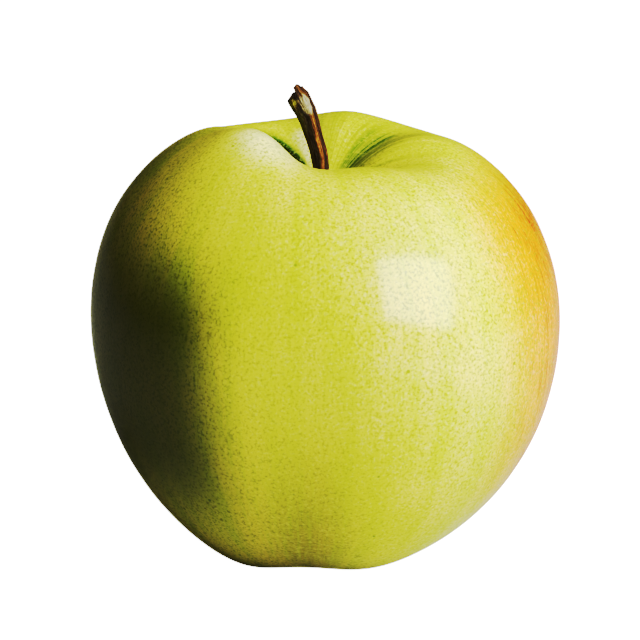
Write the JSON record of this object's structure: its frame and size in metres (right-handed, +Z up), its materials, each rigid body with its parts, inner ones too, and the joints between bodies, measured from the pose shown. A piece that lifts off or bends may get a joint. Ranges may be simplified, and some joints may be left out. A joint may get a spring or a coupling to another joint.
{
  "type": "apple",
  "caption": "Whole ripe apple with a woody stalk and a dried calyx, standing on the lobes round its eye.",
  "frame": {"origin": "on the surface the apple stands on, under the middle of the fruit", "axes": "+Z up along the fruit's axis to the stalk, +X to the blushed side, -Y to the side seen first"},
  "size_m": [0.0764, 0.0754, 0.0777],
  "materials": {
    "skin": "satin",
    "stalk": "matte",
    "dried_sepal": "matte"
  },
  "bodies": {
    "root": {"fruit": "skin", "stem": "stalk", "calyx": "dried_sepal"}
  },
  "joints": []
}
